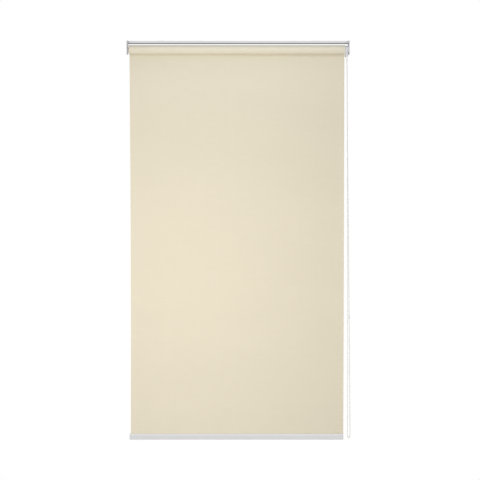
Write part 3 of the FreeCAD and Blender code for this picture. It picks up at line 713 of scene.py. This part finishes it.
def hangCloth():
    startClean()
    width = sheet["right"] - sheet["left"]
    height = axisHeight - sheet["foot"]
    middle = ((sheet["right"] + sheet["left"]) / 2, 0.0, (axisHeight + sheet["foot"]) / 2)
    bpy.ops.mesh.primitive_grid_add(
        x_subdivisions=sheet["columns"], y_subdivisions=sheet["rows"], size=1.0,
        location=middle, rotation=(math.radians(90.0), 0.0, 0.0),
    )
    item = nameIt("hanging_cloth")
    item.scale = (width, height, 1.0)
    applyPlace(item)
    for v in item.data.vertices:
        v.co.y = clothDepth(v.co.x, v.co.z)
        v.co.x = clothAcross(v.co.x, v.co.z)
    addModifier(item, "SOLIDIFY", thickness=sheet["thick"], offset=0.0)
    faceOut(item)
    smooth(item, 40.0)
    return item


# the turns left on the tube, from where the cloth falls away in to the tape
winding = {"step": 0.0004, "clear": 0.0002, "around": 72, "columns": 12, "thickShare": 0.93}


def windCloth():
    tubeRadius = (tubeHigh.z - tubeLow.z) / 2
    step = winding["step"]
    turns = (rollRadius - sheet["thick"] - tubeRadius - winding["clear"]) / step
    startClean()
    bpy.ops.mesh.primitive_grid_add(
        x_subdivisions=winding["columns"], y_subdivisions=int(turns * winding["around"]), size=1.0
    )
    item = nameIt("wound_cloth")
    width = sheet["right"] - sheet["left"]
    uv = item.data.uv_layers.active or item.data.uv_layers.new()
    uv.name = "clothMap"
    places = {}
    for v in item.data.vertices:
        share = v.co.y + 0.5
        turned = 2 * math.pi * turns * share
        radius = rollRadius - sheet["thick"] / 2 - step * turns * share
        x = (sheet["left"] + sheet["right"]) / 2 + v.co.x * width
        places[v.index] = (x, axisHeight + radius * turned)
        v.co = (x, radius * math.cos(turned), axisHeight + radius * math.sin(turned))
    for loop in item.data.loops:
        uv.data[loop.index].uv = places[loop.vertex_index]
    addModifier(item, "SOLIDIFY", thickness=sheet["thick"] * winding["thickShare"], offset=0.0)
    editing(item)
    bpy.ops.mesh.select_all(action="SELECT")
    bpy.ops.mesh.normals_make_consistent(inside=False)
    bpy.ops.object.mode_set(mode="OBJECT")
    smooth(item, 40.0)
    middleRadius = rollRadius - sheet["thick"] / 2 - step / 2 * turns
    return item, 2 * math.pi * turns * middleRadius


hanging = hangCloth()
finishPiece(hanging, "frame", "blind_cloth", hangingCloth, "fabric_panel")
wound, woundLength = windCloth()
finishPiece(wound, "roller", "blind_cloth", woundCloth, "wound_fabric")


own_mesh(hanging)
print("cloth hung")

# end covers: shallow caps with a sunk panel and rounded lower corners
coverShape = {
    "corner": 0.018,
    "cornerParts": 12,
    "rim": 0.0032,
    "sink": 0.0004,         # the panel lies this far in
    "slope": 0.0005,        # width of the step down to it
    "swellInset": 0.004,
    "swell": 0.00018,       # and it stands up again in the middle
    "edge": 0.0006,
    "wall": 0.0012,
    "hollow": 0.0017,
}


# each is as deep and as tall as the plate behind it
def makeCover(name, node):
    low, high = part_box(node)
    plateLow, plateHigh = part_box("left_bracket")
    low = Vector((low.x, plateLow.y, plateLow.z))
    high = Vector((high.x, plateHigh.y, high.z))
    outward = 1.0 if high.x > 0 else -1.0
    startClean()
    bpy.ops.mesh.primitive_cube_add(size=1.0, location=(low + high) / 2)
    item = nameIt(name)
    item.scale = high - low
    applyPlace(item)
    editing(item)
    lowest = low.z + 1e-5
    pick(item, "edges", lambda e: runsAlong(e, 0) and e.verts[0].co.z < lowest)
    bpy.ops.mesh.bevel(
        offset=coverShape["corner"], segments=coverShape["cornerParts"], affect="EDGES"
    )
    outside = high.x if outward > 0 else low.x
    inside = low.x if outward > 0 else high.x
    pick(item, "faces", lambda f: abs(middleOf(f).x - inside) < 1e-6 and abs(f.normal.x) > 0.9)
    bpy.ops.mesh.inset(thickness=coverShape["wall"], depth=0.0)
    inward = (outward * coverShape["hollow"], 0, 0)
    bpy.ops.mesh.extrude_region_move(TRANSFORM_OT_translate={"value": inward})
    pick(item, "faces", lambda f: abs(middleOf(f).x - outside) < 1e-6 and abs(f.normal.x) > 0.9)
    bpy.ops.mesh.inset(thickness=coverShape["rim"], depth=0.0)
    bpy.ops.mesh.inset(thickness=coverShape["slope"], depth=-coverShape["sink"])
    bpy.ops.mesh.inset(thickness=coverShape["swellInset"], depth=coverShape["swell"])
    bpy.ops.object.mode_set(mode="OBJECT")
    addModifier(
        item, "BEVEL", width=coverShape["edge"], segments=3,
        limit_method="ANGLE", angle_limit=0.7,
    )
    faceOut(item)
    smooth(item, 35.0)
    return item


for side in ("left", "right"):
    cover = makeCover(f"{side}_end_cover", f"{side}_cover")
    finishPiece(cover, "frame", "cover_plastic", coverPlastic, f"{side}_cover")


# a merged copy of a frame piece
def copied(node, name):
    startClean()
    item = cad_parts[node].copy()
    item.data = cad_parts[node].data.copy()
    for key in list(item.keys()):
        del item[key]
    item.parent = None
    item.matrix_world = Matrix.Identity(4)
    scene.collection.objects.link(item)
    choose(item)
    nameIt(name)
    editing(item)
    bpy.ops.mesh.select_all(action="SELECT")
    bpy.ops.mesh.remove_doubles(threshold=2e-6)
    bpy.ops.mesh.dissolve_limited(angle_limit=math.radians(1.0))
    bpy.ops.object.mode_set(mode="OBJECT")
    return item


# the same, its edges broken as the real one's are
def softened(node, name, width):
    item = copied(node, name)
    addModifier(
        item, "BEVEL", width=width, segments=2, limit_method="ANGLE",
        angle_limit=math.radians(30.0), use_clamp_overlap=True, harden_normals=False,
    )
    smooth(item, 35.0)
    return item


# node, new piece, body, slot, material, how far its edges are broken
broken = [
    ("headrail", "top_rail", "frame", "rail_aluminium", railMetal, 0.25 * mm),
    ("left_bracket", "left_end_plate", "frame", "bracket_paint", platePaint, 0.25 * mm),
    ("right_bracket", "right_end_plate", "frame", "bracket_paint", platePaint, 0.25 * mm),
    ("drive_housing", "chain_guard", "frame", "guard_plastic", guardPlastic, 0.35 * mm),
    ("hem_bar", "bottom_bar", "hem", "hem_aluminium", hemMetal, 0.2 * mm),
    ("bar_cap_left", "bottom_bar_cap_left", "hem", "cap_plastic", capPlastic, 0.3 * mm),
    ("bar_cap_right", "bottom_bar_cap_right", "hem", "cap_plastic", capPlastic, 0.3 * mm),
    ("idle_plug", "tube_idle_plug", "roller", "idle_plastic", idlePlastic, 0.25 * mm),
    ("mounting_clip_left", "ceiling_clip_left", "frame", "clip_steel", zincPlate, 0.2 * mm),
    ("mounting_clip_right", "ceiling_clip_right", "frame", "clip_steel", zincPlate, 0.2 * mm),
]
for node, name, body, slot, material, width in broken:
    finishPiece(softened(node, name, width), body, slot, material, node)

# the spring behind the idle pin, which shortens as the pin is pressed in, copied as it stands onto
# a mesh of its own
pinSpring = copied("idle_pin_spring", "pin_spring")
smooth(pinSpring, 40.0)
finishPiece(pinSpring, "roller", "spring_steel", springSteel, "idle_pin_spring")
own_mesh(pinSpring)

# the rest of the frame's own pieces keep their shape
kept = {
    "bracket_screws_left": brightSteel,
    "bracket_screws_right": brightSteel,
    "pin_bush": idlePlastic,
    "clutch_core": clutchPlastic,
    "core_retainer": springSteel,
    "roller_tube": tubeMetal,
    "fixing_tape": tapePlastic,
    "drive_crown": clutchPlastic,
    "clutch_springs": springSteel,
    "idle_pin": brightSteel,
    "chain_wheel": clutchPlastic,
    "fabric_keder": kederPlastic,
}
for node, material in kept.items():
    dress(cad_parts[node], material)
    smooth(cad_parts[node], 30.0)
print("hard pieces dressed")

studio = {
    "floorHeight": -2.45,
    "floorRadius": 1.35,
    "floorMiddle": 0.1,
    "floorSides": 96,
    "floorDark": (0.80, 0.80, 0.80),
    "floorPale": (0.84, 0.84, 0.84),
    "skySeen": 1.0,       # what the camera sees past the blind
    "skySoft": 0.40,      # what lights the matte surfaces
    "skyGloss": 1.06,     # what shows in the metal
    "behindSoft": 0.62,   # share of each behind the blind
    "behindGloss": 0.10,
    "skyBelow": 0.55,     # share of it from below
    "skySides": 1.7,      # the same from straight left and right
    "softSpan": (-0.4, 0.6),    # where behind begins and is full, front to back
    "glossSpan": (0.62, 0.92),
    "belowSpan": (-0.8, 0.1),
    "sideSpan": (0.8, 1.0),
    "key": {
        "spot": (-0.33, -2.0, -0.97), "aim": (0.0, 0.0, -0.98), "size": (1.2, 1.0),
        "power": 34.5, "colour": (1.0, 0.958, 0.91), "shows": False,
    },
    "top": {
        "spot": (0.0, -0.55, 1.25), "aim": (0.0, 0.0, -0.3), "size": (1.8, 0.5),
        "power": 4.0, "colour": (0.985, 0.99, 1.0), "shows": True,
    },
    "strip": {
        "spot": (0.03, -0.30, 0.03), "aim": (0.0, 0.0, -0.06), "size": (1.2, 0.08),
        "power": 0.42, "colour": (0.80, 0.92, 1.0), "shows": False,
    },
    "back": {
        "spot": (0.3, 2.8, -0.5), "aim": (0.0, 0.0, -0.9), "size": (1.6, 1.6),
        "power": 60.0, "colour": (1.0, 1.0, 1.0), "shows": False,
    },
}


def makeFloor():
    startClean()
    bpy.ops.mesh.primitive_circle_add(
        vertices=studio["floorSides"], radius=studio["floorRadius"], fill_type="NGON",
        location=(0, studio["floorMiddle"], studio["floorHeight"]),
    )
    item = nameIt("floor")
    applyPlace(item)
    material, tree, shader, place = newMaterial("paleFloor", Roughness=0.8)
    shade = noiseOf(tree, place, 3.0, 2.0, 0.5)
    colour = blendColour(tree, shade, studio["floorDark"], studio["floorPale"])
    feed(tree, colour, shader.inputs["Base Color"])
    dress(item, material)


# white all round for the camera, and softer from behind and below for the light
def makeSky():
    world = bpy.data.worlds.new("sky")
    scene.world = world
    world.use_nodes = True
    tree = world.node_tree
    tree.nodes.clear()
    rays = newNode(tree, "LightPath").outputs
    glossy = rays["Is Glossy Ray"]
    way = newNode(tree, "SeparateXYZ")
    feed(tree, newNode(tree, "TexCoord").outputs["Generated"], way.inputs[0])
    softLoss, glossLoss = 1.0 - studio["behindSoft"], 1.0 - studio["behindGloss"]
    behind = remap(tree, glossy, 0.0, 1.0, softLoss, glossLoss)
    softTurn = remap(tree, way.outputs["Y"], *studio["softSpan"], 0.0, 1.0)
    glossTurn = remap(tree, way.outputs["Y"], *studio["glossSpan"], 0.0, 1.0)
    difference = calc(tree, "SUBTRACT", glossTurn, softTurn)
    turned = calc(tree, "MULTIPLY_ADD", glossy, difference, softTurn)
    ahead = calc(tree, "SUBTRACT", 1.0, calc(tree, "MULTIPLY", turned, behind))
    above = remap(tree, way.outputs["Z"], *studio["belowSpan"], studio["skyBelow"], 1.0)
    level = remap(tree, glossy, 0.0, 1.0, studio["skySoft"], studio["skyGloss"])
    across = calc(tree, "ABSOLUTE", way.outputs["X"])
    sides = remap(tree, across, *studio["sideSpan"], 1.0, studio["skySides"])
    shaded = calc(tree, "MULTIPLY", ahead, above)
    lit = calc(tree, "MULTIPLY", shaded, calc(tree, "MULTIPLY", sides, level))
    given = newNode(tree, "Background")
    feed(tree, lit, given.inputs["Strength"])
    given.inputs["Color"].default_value = (1.0, 1.0, 1.0, 1.0)
    seen = newNode(tree, "Background")
    seen.inputs["Strength"].default_value = studio["skySeen"]
    seen.inputs["Color"].default_value = (1.0, 1.0, 1.0, 1.0)
    mix = newNode(tree, "MixShader")
    feed(tree, rays["Is Camera Ray"], mix.inputs["Fac"])
    feed(tree, given.outputs[0], mix.inputs[1])
    feed(tree, seen.outputs[0], mix.inputs[2])
    feed(tree, mix.outputs[0], newNode(tree, "OutputWorld").inputs["Surface"])


def makeLight(name):
    light = studio[name]
    data = bpy.data.lights.new(name, "AREA")
    data.shape = "RECTANGLE"
    data.size, data.size_y = light["size"]
    data.energy = light["power"]
    data.color = light["colour"]
    item = bpy.data.objects.new(name, data)
    item.location = light["spot"]
    toward = Vector(light["aim"]) - Vector(light["spot"])
    item.rotation_euler = toward.to_track_quat("-Z", "Y").to_euler()
    item.visible_camera = False
    item.visible_glossy = light["shows"]
    scene.collection.objects.link(item)


makeFloor()
makeSky()
for name in ("key", "top", "strip", "back"):
    makeLight(name)
scene.view_settings.view_transform = "Standard"
scene.view_settings.look = "None"
print("studio set")

bpy.context.view_layer.update()
